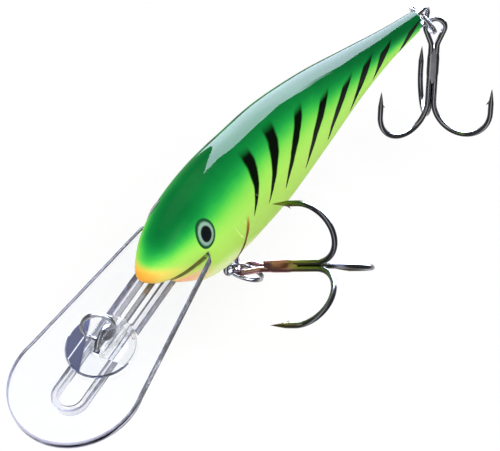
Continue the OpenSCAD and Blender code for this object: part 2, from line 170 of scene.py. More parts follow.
ON_LIP = Matrix.Translation(LIP_ROOT) @ Matrix.Rotation(LIP_TURN, 4, "Y")
LINE_TIE = ON_LIP @ Vector((TIE_REACH, 0, 0))


def turned(turn):
    return Euler([radians(angle) for angle in turn]).to_matrix().to_4x4()


def ring_frame(at, turn, outer):
    """The frame of a ring whose wire passes through at."""
    frame_turn = turned(turn)
    from_wire = frame_turn @ Vector((outer - RING_WIDTH / 2, 0, 0))
    return Matrix.Translation(at + from_wire) @ frame_turn


def treble_frame(ring, place, gap, lift, turn):
    """A treble's frame, hung by its eye inside a ring, lifted off the ring's plane."""
    reach = HOOK_RING - RING_WIDTH / 2 - (RING_WIDTH + HOOK_WIRE) / 2 - gap
    top = ring @ Vector((reach * cos(radians(place)), reach * sin(radians(place)), lift))
    return Matrix.Translation(top) @ turned(turn)


TIE_RING_FRAME = ring_frame(ON_LIP @ Vector((TIE_REACH + TIE_RING_FROM[0], 0, TIE_RING_FROM[1])),
                            (-87, 284, -61), TIE_RING)
BELLY_RING_FRAME = ring_frame(HANGER_LOOP, (129, 41, 132), HOOK_RING)
TAIL_RING_FRAME = ring_frame(TAIL_LOOP, (42, 48, -152), HOOK_RING)
BELLY_TREBLE_FRAME = treble_frame(BELLY_RING_FRAME, 169, 0.55, 0, (-114, 6, -179))
TAIL_TREBLE_FRAME = treble_frame(TAIL_RING_FRAME, -110, 0.54, 1.48, (9, -3, -50))


# ---------- Colours and nodes ----------

def srgb(code):
    """A linear colour from an sRGB hex code."""
    shares = [int(code[i:i + 2], 16) / 255 for i in (1, 3, 5)]
    return (*[c / 12.92 if c <= 0.04045 else ((c + 0.055) / 1.055) ** 2.4 for c in shares], 1)


def add_node(tree, kind, inputs=(), operation=None, stops=(), curve=(), **settings):
    """Adds a shader node and returns its output in use. Inputs are given by name, or in the
    order of the node's sockets. One is linked, another set, and a hex code becomes a colour."""
    made = tree.nodes.new("ShaderNode" + kind)
    if operation:
        made.operation = operation
    for key, value in settings.items():
        setattr(made, key, value)
    if stops:
        ramp = made.color_ramp.elements
        ramp[0].position, ramp[-1].position = stops[0][0], stops[-1][0]
        for place, _ in stops[1:-1]:
            ramp.new(place)
        for stop, (_, code) in zip(ramp, stops):
            stop.color = srgb(code)
    if curve:
        points = made.mapping.curves[0].points
        points[0].location, points[-1].location = curve[0], curve[-1]
        for place in curve[1:-1]:
            points.new(*place)
        made.mapping.update()
    for key, value in inputs.items() if isinstance(inputs, dict) else enumerate(inputs):
        if isinstance(value, bpy.types.NodeSocket):
            tree.links.new(value, made.inputs[key])
        else:
            made.inputs[key].default_value = srgb(value) if isinstance(value, str) else value
    return next((output for output in made.outputs if output.enabled), None)


def new_material(name):
    """A material, and the function that adds a node to it."""
    material = bpy.data.materials.new(name)
    material.use_nodes = True
    material.node_tree.nodes.clear()
    return material, partial(add_node, material.node_tree)


def piece_material(name):
    """The same for a piece, with each place as millimetres from the nose's tip."""
    material, add = new_material(name)
    made_at = add("TexCoord").node.outputs["Object"]
    return material, add, add("Mapping", {"Vector": made_at, "Location": -NOSE,
                                          "Scale": [1 / MM] * 3})


def shown(material, shader):
    """The material, with the shader on its surface."""
    add_node(material.node_tree, "OutputMaterial", (shader,))
    return material


# ---------- Materials ----------

SOFT_EDGED = {"interpolation_type": "SMOOTHSTEP"}
DRAWING_MARKS = 0.3


def distance_along(add, place, start, way):
    """Distance of a place from a start, along a direction."""
    from_start = add("VectorMath", (place, start), "SUBTRACT")
    return add("VectorMath", (from_start, way.normalized()), "DOT_PRODUCT")


def on_lip(add, place, direction):
    """Distance of a place from the lip's root, along one of the lip's own directions."""
    return distance_along(add, place, LIP_ROOT, ON_LIP.to_3x3() @ Vector(direction))


def tiger_bar_group():
    """One airbrushed bar: soft and rounded at the back, narrowing to a hard point on the flank."""
    group = bpy.data.node_groups.new("tiger_bar", "ShaderNodeTree")
    for name in ("Behind", "Height", "Top", "Low", "Top height", "Low height", "Bow", "Width"):
        group.interface.new_socket(name, in_out="INPUT", socket_type="NodeSocketFloat")
    group.interface.new_socket("Ink", in_out="OUTPUT", socket_type="NodeSocketFloat")
    given = group.nodes.new("NodeGroupInput").outputs
    behind, height, top, low, top_height, low_height, bow, width, _ = given
    add = partial(add_node, group)
    up = add("MapRange", (height, low_height, top_height), clamp=False)
    straight = add("MapRange", (height, low_height, top_height, low, top), clamp=False)
    down = add("Math", (1, up), "SUBTRACT")
    arch = add("Math", (up, down), "MULTIPLY")
    middle = add("Math", (arch, bow, straight), "MULTIPLY_ADD")
    aside = add("Math", (behind, middle), "SUBTRACT")
    away = add("Math", (aside,), "ABSOLUTE")
    kept_up = add("Clamp", (up, 0, 1.2))
    fullness = add("FloatCurve", {"Value": kept_up}, curve=((0, 0.1), (0.25, 0.35), (0.5, 0.62),
        (0.75, 0.86), (1, 0.92)))
    half = add("Math", (fullness, width), "MULTIPLY")
    blur = add("MapRange", (up, 0.2, 1, 0.09, 0.32))
    inside = add("Math", (half, blur), "SUBTRACT")
    outside = add("Math", (half, blur), "ADD")
    across = add("MapRange", (away, inside, outside, 1, 0), **SOFT_EDGED)
    start = add("MapRange", (up, 0, 0.04))
    end = add("MapRange", (up, 0.95, 1.07, 1, 0), **SOFT_EDGED)
    ends = add("Math", (start, end), "MULTIPLY")
    ink = add("Math", (across, ends), "MULTIPLY")
    group.links.new(ink, group.nodes.new("NodeGroupOutput").inputs[0])
    return group


# Each bar: distance behind the nose at its top and foot, heights of both, bow, and half-width
BARS = ((21.1, 19.1, 8.8, 0.2, 1.8, 1.1), (27, 23.2, 9.2, -0.5, 1.2, 1.22),
        (33.9, 27.9, 8.2, -1, -3.6, 1.25), (40.4, 33.5, 6.55, -1.4, -3.6, 1.5),
        (46.9, 40.3, 4.95, -1.1, -4.2, 1.7), (53.5, 47.5, 4.15, -0.9, -2, 1.85),
        (59, 54.7, 3, -0.1, 0.2, 2.1), (67.9, 63.2, 1.3, -1.2, -1.8, 2.1))


def painted_over(add, under, over, *shares):
    """One colour over another, as strongly as all the shares multiplied."""
    share, *others = shares
    for other in others:
        share = add("Math", (share, other), "MULTIPLY")
    return add("MixRGB", (share, under, over))


def lacquered_paint():
    """Airbrushed acrylic under clear lacquer: soft colour edges, and a wet, mirror-like coat that
    keeps a faint orange peel."""
    material, add, place = piece_material("lacquered_airbrush_paint")
    forward, left, height = add("SeparateXYZ", (place,)).node.outputs
    behind = add("Math", (forward, -1), "MULTIPLY")
    share = add("Math", (behind, BODY_LENGTH), "DIVIDE")

    # Height where the green of the back turns bright, and the depth of its blend, along the body
    edge = add("FloatCurve", {"Value": share}, curve=((0, 0.2), (0.05, 0.315), (0.09, 0.42),
        (0.14, 0.51), (0.2, 0.6), (0.27, 0.66), (0.34, 0.71), (0.42, 0.71), (0.5, 0.675),
        (0.6, 0.54), (0.7, 0.42), (0.8, 0.3), (0.9, 0.185), (1, 0.06)))
    edge = add("MapRange", (edge, 0, 1, -1, 11))
    depth = add("FloatCurve", {"Value": share}, curve=((0, 0.22), (0.05, 0.36), (0.12, 0.62),
        (0.2, 0.9), (0.35, 1), (0.5, 0.98), (0.7, 0.7), (0.85, 0.42), (1, 0.3)))
    cloud = add("TexNoise", {"Vector": place, "Scale": 0.22, "Detail": 2, "Roughness": 0.5})
    # Airbrush droplets are some 0.05 mm across, and are drawn at 0.15 mm so that they show
    droplets = add("TexNoise", {"Vector": place, "Scale": 6.5, "Detail": 1})
    drift = add("MapRange", (cloud, 0, 1, -0.55, 0.55))
    speckle = add("MapRange", (droplets, 0, 1, -0.32, 0.32))
    uneven = add("Math", (drift, speckle), "ADD")
    above = add("Math", (height, edge), "SUBTRACT")
    level = add("Math", (above, depth), "DIVIDE")
    level = add("Math", (level, uneven), "ADD")
    level = add("MapRange", (level, -12, 4))
    colour = add("ValToRGB", (level,), stops=((0, "#aed85c"), (0.3, "#b2e262"), (0.46, "#aee862"),
        (0.56, "#a0e65c"), (0.65, "#7fdc52"), (0.7, "#5fd04c"), (0.75, "#3cbb48"),
        (0.8, "#1fa042"), (0.86, "#0e8139"), (0.92, "#096c31"), (1, "#06602c")))
    pale = add("FloatCurve", {"Value": share}, curve=((0, 0.94), (0.1, 0.825), (0.2, 0.775),
        (0.27, 0.575), (0.34, 0.41), (0.45, 0.15), (0.55, 0.2), (0.7, 0.42), (1, 0.7)))
    pale = add("MapRange", (pale, 0, 1, -8, 0))
    pale = add("Math", (pale, height), "SUBTRACT")
    pale = add("MapRange", (pale, 0, 2.8, 0, 0.8), **SOFT_EDGED)
    colour = add("MixRGB", (pale, colour, "#e6f0b4"))

    # Yellow to orange over the nose's tip, and salmon on the chin
    tip = add("MapRange", (behind, 7.5, 1.6), **SOFT_EDGED)
    tip_line = add("MapRange", (behind, 0, 8, 1.7, 0.6))
    under_tip = add("Math", (tip_line, height), "SUBTRACT")
    under_tip = add("MapRange", (under_tip, -0.35, 0.9), **SOFT_EDGED)
    tip_colour = add("MapRange", (behind, 0, 6))
    tip_colour = add("ValToRGB", (tip_colour,), stops=((0, "#f9a63c"), (0.12, "#f9bd4c"),
        (0.3, "#f6dc66"), (1, "#e2ec78")))
    colour = painted_over(add, colour, tip_colour, tip, under_tip)
    chin = add("MapRange", (height, -0.8, -3.4), **SOFT_EDGED)
    chin_reach = add("MapRange", (behind, 11.5, 6), **SOFT_EDGED)
    colour = painted_over(add, colour, "#f7a981", chin, chin_reach)

    # Tiger bars
    group = tiger_bar_group()
    wobble = add("TexNoise", {"Vector": place, "Scale": 0.45, "Detail": 1})
    wobble = add("MapRange", (wobble, 0, 1, -0.25, 0.25))
    swayed = add("Math", (behind, wobble), "ADD")
    ink, *more = [add("Group", (swayed, height, *bar), node_tree=group) for bar in BARS]
    for bar in more:
        ink = add("Math", (ink, bar), "MAXIMUM")
    colour = add("MixRGB", (ink, colour, "#060f06"))

    # Red stroke down the edge of the gill plate
    gill_bow = add("Math", (height, height), "MULTIPLY")
    gill_at = add("Math", (gill_bow, -GILL_BOW, GILL_BACK - 0.3), "MULTIPLY_ADD")
    gill = add("Math", (behind, gill_at), "SUBTRACT")
    gill = add("Math", (gill,), "ABSOLUTE")
    gill_width = add("MapRange", (height, -4, 1, 0.72, 0.36))
    gill = add("Math", (gill, gill_width), "DIVIDE")
    gill = add("MapRange", (gill, 0.4, 1.2, 1, 0), **SOFT_EDGED)
    gill_length = add("MapRange", (height, 1.7, 0.2))
    gill_colour = add("MapRange", (height, -4.5, 0.5))
    gill_colour = add("ValToRGB", (gill_colour,), stops=((0, "#4c1c0d"), (0.6, "#80370f"),
        (1, "#a8741e")))
    colour = painted_over(add, colour, gill_colour, gill, gill_length)

    # Dark line painted round each eye's seat
    rim = add("MapRange", (eye_share(add, place), 1.03, 1.1, 1, 0))
    colour = add("MixRGB", (rim, colour, "#1c5232"))

    # Painted shadow along the slot of the lip, on both cheeks: a dark brown line
    over_plate = on_lip(add, place, (0, 0, 1))
    slot_shadow = add("MapRange", (over_plate, 0.05, 0.18, 1, 0))
    in_slot = add("Math", (over_plate, -LIP_THICKNESS - 0.2), "GREATER_THAN")
    cheek = add("Math", (left,), "ABSOLUTE")
    cheek = add("MapRange", (cheek, 1.4, 3.2))
    near_lip = add("Math", (behind, -LIP_ROOT.x - 0.2), "LESS_THAN")
    colour = painted_over(add, colour, "#6f6c38", slot_shadow, in_slot, cheek, near_lip)

    peel = add("TexNoise", {"Vector": place, "Scale": 0.35, "Detail": 1.5})
    bump = add("Bump", {"Height": peel, "Strength": 0.25, "Distance": 8e-05})
    gloss = add("MapRange", (droplets, 0, 1, 0.32, 0.42))
    return shown(material, add("BsdfPrincipled", {"Base Color": colour, "Roughness": gloss,
        "Normal": bump, "Coat Normal": bump, "Coat Weight": 0.17, "Coat Roughness": 0.03,
        "Coat IOR": 1.5, "Specular IOR Level": 0}))


def clear_glass(add, flow, thin, thick, waviness, depth, roughness=0):
    """Polycarbonate that lamps shine through, so that it casts only a faint shadow. Its tint and
    its skin wave as it flowed into the mould."""
    colour = add("MixRGB", (flow, thin, thick))
    waves = add("Bump", {"Height": flow, "Strength": waviness, "Distance": depth})
    glass = add("BsdfPrincipled", {"Base Color": colour, "Roughness": roughness, "IOR": 1.58,
        "Transmission Weight": 1, "Normal": waves})
    open_air = add("BsdfTransparent", {"Color": "#f6f8fb"})
    in_shadow = add("LightPath").node.outputs["Is Shadow Ray"]
    return add("MixShader", (in_shadow, glass, open_air))


def clear_plastic():
    """Moulded clear polycarbonate: nearly invisible flat on, with a bright skin reflection."""
    material, add, place = piece_material("moulded_polycarbonate")
    flow = add("TexNoise", {"Vector": place, "Scale": 0.3, "Detail": 2})
    return shown(material, clear_glass(add, flow, "#ffffff", "#fafcff", 0.1, 3e-05))


def edge_shade_shader(add, place):
    """Painted shade for the lip's dark edges: matt polycarbonate, blue-grey and mottled, paler
    towards the lip's tip.
    """
    mottle = add("TexNoise", {"Vector": place, "Scale": 1.1, "Detail": 3})
    colour = add("ValToRGB", (mottle,), stops=((0.3, "#2c2c38"), (0.5, "#4e4f62"),
        (0.72, "#8486a0")))
    paler = add("MapRange", (on_lip(add, place, (1, 0, 0)), 25, 33, 0, 0.8))
    colour = add("MixRGB", (paler, colour, "#b9b8d4"))
    return add("BsdfPrincipled", {"Base Color": colour, "Roughness": 0.35})


def clear_plastic_edge():
    """Polycarbonate on edge: clear between its two rims, where painted shade stands for the
    clear plate's dark edge: a matt blue-grey streak."""
    material, add, place = piece_material("moulded_polycarbonate_edge")
    flow = add("TexNoise", {"Vector": place, "Scale": 0.9, "Detail": 3})
    height = on_lip(add, place, (0, 0, 1))
    along = on_lip(add, place, (1, 0, 0))
    depth = add("MapRange", (height, -LIP_THICKNESS, 0))
    # Painted shade near both rims of each edge face, clear between them
    rims = add("ValToRGB", (depth,), stops=((0, "#e8e8e8"), (0.18, "#e8e8e8"), (0.3, "#282828"),
        (0.7, "#282828"), (0.82, "#e8e8e8"), (1, "#e8e8e8")))

    # Painted shade: the keel is matt along the foot of its outer wall, and deeper at its rear
    # rails
    past_bend = add("Math", (along, KEEL_REACH - KEEL_WIDTH / 2), "SUBTRACT")
    past_bend = add("Math", (past_bend, 0), "MAXIMUM")
    from_spine = add("CombineXYZ", (past_bend, on_lip(add, place, (0, 1, 0))))
    from_spine = add("VectorMath", (from_spine,), "LENGTH")
    outer = add("MapRange", (from_spine, KEEL_WIDTH / 2 - 0.3, KEEL_WIDTH / 2 - 0.15))
    foot = add("MapRange", (along, RAIL_REACH, KEEL_REACH, -LIP_THICKNESS - KEEL_DEPTH - 0.2,
        -LIP_THICKNESS - 0.4))
    above_foot = add("Math", (height, foot), "GREATER_THAN")
    under_plate = add("Math", (height, -LIP_THICKNESS), "LESS_THAN")
    keel = outer
    for share in (above_foot, under_plate, 0.9):
        keel = add("Math", (keel, share), "MULTIPLY")
    in_plate = add("MapRange", (under_plate, 0, 1, 1, 0))
    rims = add("Math", (rims, in_plate), "MULTIPLY")
    shaded_edges = add("Math", (rims, keel), "MAXIMUM")
    clear = clear_glass(add, flow, "#c4c8da", "#eef0f8", 0.2, 5e-05, 0.03)
    return shown(material, add("MixShader", (shaded_edges, clear, edge_shade_shader(add, place))))


def edge_shade_material():
    """Painted shade: a fine matt line all round the lip's outline, for the plate's dark edge."""
    material, add, place = piece_material("polycarbonate_painted_edge_shade")
    return shown(material, edge_shade_shader(add, place))


def clear_button_face():
    """The button's polished face: clear, with a smoky blue reflection on its left side, beyond
    the keel's wall."""
    material, add, place = piece_material("moulded_polycarbonate_button")
    flow = add("TexNoise", {"Vector": place, "Scale": 0.6, "Detail": 3})
    aside = on_lip(add, place, (0.4, -0.917, 0))
    sector = add("MapRange", (aside, BUTTON_SMOKE, BUTTON_SMOKE + 0.15, 0, 0.92))
    smoke_at = add("MapRange", (on_lip(add, place, (1, 0, 0)), TIE_REACH - 3.5, TIE_REACH + 4.5))
    smoke_at = add("Math", (smoke_at, flow, -0.25), "ADD")
    smoke = add("ValToRGB", (smoke_at,), stops=((0.1, "#c6d2dc"), (0.28, "#8796b2"),
        (0.42, "#48528a"), (0.7, "#373f78"), (1, "#2e3358")))
    scratch = add("Math", (on_lip(add, place, (0, 1, 0)), BUTTON_SCRATCH), "ADD")
    scratch = add("Math", (scratch,), "ABSOLUTE")
    scratch = add("MapRange", (scratch, 0.06, 0.12, 1, 0))
    smoke = add("MixRGB", (scratch, smoke, "#e4eaf4"))
    matt = add("BsdfPrincipled", {"Base Color": smoke, "Roughness": 0.3})
    clear = clear_glass(add, flow, "#ffffff", "#f4f7fd", 0.2, 5e-05)
    return shown(material, add("MixShader", (sector, clear, matt)))


def plated_metal(name, dark, light, roughness):
    """Drawn and plated wire: a hard mirror highlight, broken by fine drawing marks."""
    material, add, place = piece_material(name)
    patches = add("TexNoise", {"Vector": place, "Scale": 0.8, "Detail": 3})
    colour = add("MixRGB", (patches, dark, light))
    marks = add("TexNoise", {"Vector": place, "Scale": 1 / DRAWING_MARKS, "Detail": 2})
    gloss = add("MapRange", (marks, 0, 1, roughness * 0.7, roughness * 1.3))
    bump = add("Bump", {"Height": marks, "Strength": 0.2, "Distance": 2e-05})
    return shown(material, add("BsdfPrincipled", {"Base Color": colour, "Metallic": 1,
        "Roughness": gloss, "Normal": bump}))


def warm_plating():
    """Black nickel thinned over the braze: coppery by the eye, olive down the shank, grey at the
    bends."""
    material, add, place = piece_material("black_nickel_over_copper_braze")
    along = distance_along(add, place, BELLY_TREBLE_FRAME.translation,
                           BELLY_TREBLE_FRAME.to_3x3() @ -UP)
    patches = add("TexNoise", {"Vector": place, "Scale": 0.8, "Detail": 3})
    along = add("Math", (along, patches), "ADD")
    along = add("MapRange", (along, 0, 18))
    colour = add("ValToRGB", (along,), stops=((0, "#6f6668"), (0.25, "#b98a88"), (0.5, "#b87e7e"),
        (0.64, "#928a60"), (0.8, "#6e7058"), (0.92, "#606164"), (1, "#66676c")))
    marks = add("TexNoise", {"Vector": place, "Scale": 5})
    gloss = add("MapRange", (marks, 0, 1, 0.13, 0.24))
    return shown(material, add("BsdfPrincipled", {"Base Color": colour, "Metallic": 1,
        "Roughness": gloss}))


def eye_share(add, place):
    """Distance from the middle of the nearer eye, as a share of the way to its rim."""
    forward, left, height = add("SeparateXYZ", (place,)).node.outputs
    aside = add("Math", (left,), "ABSOLUTE")
    folded = add("CombineXYZ", (forward, aside, height))
    seat = eye_frame()
    away = add("VectorMath", (folded, seat.translation), "SUBTRACT")
    shares = [add("VectorMath", (away, seat.to_3x3().col[axis] / EYE_OVAL[axis]),
                  "DOT_PRODUCT") for axis in (0, 1)]
    return add("VectorMath", (add("CombineXYZ", shares),), "LENGTH")


def inlaid_eye():
    """Printed disc under a clear dome: black pupil, pale iris, dark rim and a wet highlight."""
    material, add, place = piece_material("printed_eye_under_clear_dome")
    grain = add("TexNoise", {"Vector": place, "Scale": 3})
    grain = add("MapRange", (grain, 0, 1, -0.03, 0.03))
    out = add("Math", (eye_share(add, place), grain), "ADD")
    colour = add("ValToRGB", (out,), stops=((0, "#0b1013"), (0.52, "#0c1215"), (0.58, "#5c776b"),
        (0.64, "#93b3a3"), (0.78, "#86ac94"), (0.84, "#4f8366"), (0.89, "#1a5231"),
        (1, "#174a2a")))
    return shown(material, add("BsdfPrincipled", {"Base Color": colour, "Roughness": 0.3,
        "Specular IOR Level": 0.1, "Coat Weight": 0.35, "Coat Roughness": 0.02}))


def cast_lead():
    """Lead poured in a mould: dull blue-grey, mottled with white oxide."""
    material, add, place = piece_material("cast_lead")
    mottle = add("TexNoise", {"Vector": place, "Scale": 1.2, "Detail": 4})
    colour = add("ValToRGB", (mottle,), stops=((0.35, "#53565b"), (0.7, "#8b8e91")))
    bump = add("Bump", {"Height": mottle, "Strength": 0.4, "Distance": 0.0001})
    return shown(material, add("BsdfPrincipled", {"Base Color": colour, "Metallic": 0.7,
        "Roughness": 0.6, "Normal": bump}))


PAINT = lacquered_paint()
CLEAR = clear_plastic()
CLEAR_EDGE = clear_plastic_edge()
EDGE_SHADE = edge_shade_material()
CLEAR_BUTTON = clear_button_face()
STEEL = plated_metal("drawn_stainless_wire", "#8c8c92", "#b6b7bc", 0.08)
NICKEL = plated_metal("black_nickel_plate", "#626266", "#828286", 0.13)
WARM_NICKEL = warm_plating()
EYE = inlaid_eye()
LEAD = cast_lead()


# ---------- Shaping ----------

def put_in_scene(name, bm, materials):
    """Turns a bmesh into an object of the scene."""
    mesh = bpy.data.meshes.new(name)
    bm.to_mesh(mesh)
    bm.free()
    for material in materials:
        mesh.materials.append(material)
    thing = bpy.data.objects.new(name, mesh)
    scene.collection.objects.link(thing)
    return thing


def finish_piece(bm, name, body, materials, nodes, placed=None, sharp=40, outwards=True):
    """Turns a bmesh into a piece in metres from the line tie, hangs it on its body's empty and
    hides the CAD nodes that it stands for.
    """
    if placed:
        bmesh.ops.transform(bm, matrix=placed, verts=bm.verts)
    if outwards:
        bmesh.ops.recalc_face_normals(bm, faces=bm.faces)
    bmesh.ops.transform(bm, matrix=Matrix.Scale(MM, 4) @ Matrix.Translation(NOSE), verts=bm.verts)
    piece = put_in_scene(name, bm, materials)
    piece.data.shade_smooth()
    piece.data.set_sharp_from_angle(angle=radians(sharp))
    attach(piece, body)
    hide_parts(*nodes)


def pulled_on(bm, edges):
    """Pulls a loop of edges on, and returns the new verts and edges."""
    new = bmesh.ops.extrude_edge_only(bm, edges=edges)["geom"]
    return ([part for part in new if isinstance(part, bmesh.types.BMVert)],
            [part for part in new if isinstance(part, bmesh.types.BMEdge)])


def arc(centre, radius, start, sweep, steps, x_axis=(1, 0, 0), y_axis=(0, 0, 1)):
    """Points on an arc, angles in degrees from x_axis towards y_axis."""
    x_axis, y_axis = Vector(x_axis), Vector(y_axis)
    return [Vector(centre) + radius * (cos(a) * x_axis + sin(a) * y_axis)
            for a in (radians(start + sweep * i / steps) for i in range(steps + 1))]


def eased(before, corner, after, reach, steps=6):
    """A corner of a path, rounded off within reach of it."""
    a = corner + (before - corner).normalized() * reach
    b = corner + (after - corner).normalized() * reach
    return [a * (1 - t) ** 2 + corner * 2 * t * (1 - t) + b * t * t
            for t in (i / steps for i in range(steps + 1))]


def stepped(a, b, steps):
    return [a.lerp(b, i / steps) for i in range(steps + 1)]


def mirrored(path):
    """The other half of a symmetrical path, on from the first."""
    return [Vector((-point.x, point.y, point.z)) for point in reversed(path)]


def draw_wire(path, radius, sides=24, flat=1, squareness=1, round_ends=True):
    """Pulls a wire's section along a path, turning it at each point. radius is a number, or one
    for each point. flat thins the section along Z at the start."""
    path = [point for i, point in enumerate(path)
            if i == 0 or (point - path[i - 1]).length > SAME_PLACE]
    radii = list(radius) if hasattr(radius, "__len__") else [radius] * len(path)
    for _ in range(2 if round_ends else 0):
        path, radii = path[::-1], radii[::-1]
        tip, out, end_radius = path[-1], (path[-1] - path[-2]).normalized(), radii[-1]
        for a in (pi / 8, pi / 4, pi * 3 / 8, pi / 2):
            path.append(tip + out * end_radius * 0.6 * sin(a))
            radii.append(end_radius * max(cos(a), 0.08))
    last = len(path) - 1
    ways = [(path[min(i + 1, last)] - path[max(i - 1, 0)]).normalized() for i in range(last + 1)]
    across = ways[0].cross(UP)
    across = across.normalized() if across.length > 0.1 else Vector((0, 1, 0))
    turn = Matrix((across, across.cross(ways[0]).normalized(), ways[0])).transposed()
    bm = bmesh.new()
    for vert in bmesh.ops.create_circle(bm, cap_ends=True, segments=sides, radius=1)["verts"]:
        x, y = squarish(vert.co.x, squareness), squarish(vert.co.y, squareness)
        vert.co = path[0] + turn @ Vector((x * radii[0], y * radii[0] * flat, 0))
    edges = list(bm.edges)
    for i in range(1, last + 1):
        verts, edges = pulled_on(bm, edges)
        move = (Matrix.Translation(path[i])
                @ ways[i - 1].rotation_difference(ways[i]).to_matrix().to_4x4()
                @ Matrix.Scale(radii[i] / radii[i - 1], 4) @ Matrix.Translation(-path[i - 1]))
        bmesh.ops.transform(bm, matrix=move, verts=verts)
    bmesh.ops.edgeloop_fill(bm, edges=edges)
    return bm


def teardrop(radius, neck, spread):
    """Half of a wire eye hanging down Z from the top of its wire: its foot, the point where its
    straight side touches the round, and that point's angle."""
    drop = neck - radius
    side = acos(radius / hypot(spread, drop)) - atan2(drop, spread)
    touch = Vector((radius * cos(side), 0, -radius + radius * sin(side)))
    return Vector((spread, 0, -neck)), touch, degrees(side)


# ---------- Body ----------

def gill_step(point):
    """Depth of the step behind the gill plate, on the lower flank."""
    behind = -point.x - GILL_BACK + GILL_BOW * point.z ** 2
    if behind < 0:
        return 0
    along = min(behind / GILL_RISE, 1) * max(0, 1 - (behind - GILL_RISE) / GILL_FADE) ** 2
    height = min(max((GILL_TOP - point.z) / GILL_BLEND, 0), 1)
    return GILL_DEPTH * along * height * height * (3 - 2 * height)


def cut_with(solid, cutters):
    """The solid with the cutters taken away."""
    blanks = []
    for bm in (solid, *cutters):
        bmesh.ops.recalc_face_normals(bm, faces=bm.faces)
        blanks.append(put_in_scene("cutting", bm, ()))
    for cutter in blanks[1:]:
        cut = blanks[0].modifiers.new("cut", "BOOLEAN")
        cut.operation, cut.object, cut.solver = "DIFFERENCE", cutter, "EXACT"
    bpy.context.view_layer.update()
    result = bmesh.new()
    result.from_mesh(blanks[0].evaluated_get(bpy.context.evaluated_depsgraph_get()).to_mesh())
    for blank in blanks:
        mesh = blank.data
        bpy.data.objects.remove(blank)
        bpy.data.meshes.remove(mesh)
    return result


def block(size, middle, placed):
    """A block of a size about a middle, in a frame."""
    bm = bmesh.new()
    bmesh.ops.create_cube(bm, size=1)
    bmesh.ops.scale(bm, vec=size, verts=bm.verts)
    bmesh.ops.translate(bm, vec=middle, verts=bm.verts)
    bmesh.ops.transform(bm, matrix=placed, verts=bm.verts)
    return bm


def balsa_body():
    bm = bmesh.new()
    turn_of = bm.verts.layers.float.new("turn")
    verts = bmesh.ops.create_circle(bm, cap_ends=True, segments=BODY_SIDES, radius=1)["verts"]
    for vert in verts:
        vert[turn_of] = atan2(vert.co.y, vert.co.x)
    edges = list(bm.edges)
    for i in range(BODY_RINGS, 0, -1):
        if i < BODY_RINGS:
            verts, edges = pulled_on(bm, edges)
        for vert in verts:
            point = skin(i / BODY_RINGS, vert[turn_of])
            depth = gill_step(point)
            middle = Vector((point.x, 0, point.z * 0.6))
            vert.co = point + (middle - point).normalized() * depth
    bmesh.ops.pointmerge(bm, verts=verts, merge_co=(0, 0, 0))
    tail = max(bm.faces, key=lambda face: len(face.verts))
    bmesh.ops.bevel(bm, geom=list(tail.edges), offset=TAIL_BEVEL, segments=3, profile=0.5,
                    affect="EDGES", material=-1)
    low, high = -LIP_THICKNESS - GLUE_GAP, GLUE_GAP
    slots = [block((SLOT_REACH, width, high - floor),
                   (SLOT_REACH / 2 - depth - GLUE_GAP, 0, (high + floor) / 2), ON_LIP)
             for width, depth, floor in (
                 (SLOT_WIDTH, 0, low),  # the plate's
                 (TONGUE_WIDTH + 2 * GLUE_GAP, TONGUE_LENGTH, low),  # the tongue's
                 (KEEL_WIDTH + 2 * GLUE_GAP, TONGUE_LENGTH, low - KEEL_DEPTH))]
    bm = cut_with(bm, slots)
    finish_piece(bm, "painted_balsa_body", "lure", [PAINT],
                 ["balsa_body", "slot_filler_front", "slot_filler_rear"], sharp=35)


def lead_ballast():
    bm = bmesh.new()
    bmesh.ops.create_cone(bm, cap_ends=True, segments=48, radius1=BALLAST_RADIUS,
                          radius2=BALLAST_RADIUS, depth=BALLAST_TOP - BALLAST_FLOOR)
    bmesh.ops.translate(bm, vec=(HANGER_LOOP.x, 0, (BALLAST_TOP + BALLAST_FLOOR) / 2),
                        verts=bm.verts)
    rims = [edge for edge in bm.edges if len(edge.link_faces) == 2
            and max(len(face.verts) for face in edge.link_faces) > 4]
    bmesh.ops.bevel(bm, geom=rims, offset=BALLAST_BEVEL, segments=3, profile=0.5,
                    affect="EDGES", material=-1)
    finish_piece(bm, "cast_lead_ballast", "lure", [LEAD], ["ballast_weight"])


def inlaid_eyes():
    radius = EYE_OVAL[1]
    dome_radius = (radius ** 2 + EYE_DOME ** 2) / (2 * EYE_DOME)
    half = degrees(acos(1 - EYE_DOME / dome_radius))
    outline = ([Vector((radius * 0.5, 0, -EYE_RIM)), Vector((radius, 0, -EYE_RIM))]
               + arc((0, 0, EYE_DOME - dome_radius), dome_radius, 90 - half, half, 10))
    for node, side in (("eye_left", 1), ("eye_right", -1)):
        bm = bmesh.new()
        verts = [bmesh.ops.create_vert(bm, co=point)["vert"][0] for point in outline]
        for pair in zip(verts, verts[1:]):
            bmesh.ops.contextual_create(bm, geom=pair)
        bmesh.ops.spin(bm, geom=[*bm.verts, *bm.edges], axis=(0, 0, 1), cent=(0, 0, 0),
                       angle=2 * pi, steps=64, use_merge=True)
        bmesh.ops.remove_doubles(bm, verts=bm.verts, dist=0.001)
        bmesh.ops.edgeloop_fill(bm, edges=[edge for edge in bm.edges if edge.is_boundary])
        bmesh.ops.scale(bm, vec=(EYE_OVAL[0] / radius, 1, 1), verts=bm.verts)
        for vert in bm.verts:
            x, y = vert.co.x, vert.co.y
            vert.co.z += EYE_BEND[0] * x * x + EYE_BEND[1] * x * y + EYE_BEND[2] * y * y
        bmesh.ops.transform(bm, matrix=Matrix.Scale(side, 4, (0, 1, 0)) @ eye_frame(),
                            verts=bm.verts)
        finish_piece(bm, node + "_lens", "lure", [EYE], [node], sharp=60)


# ---------- Lip ----------

def from_cad(node):
    """A merged copy of a CAD node, in millimetres from the nose."""
    bm = bmesh.new()
    bm.from_mesh(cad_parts[node].data)
    bmesh.ops.transform(bm, matrix=Matrix.Translation(-NOSE) @ Matrix.Scale(1 / MM, 4),
                        verts=bm.verts)
    bmesh.ops.remove_doubles(bm, verts=bm.verts, dist=0.0005)
    return bm


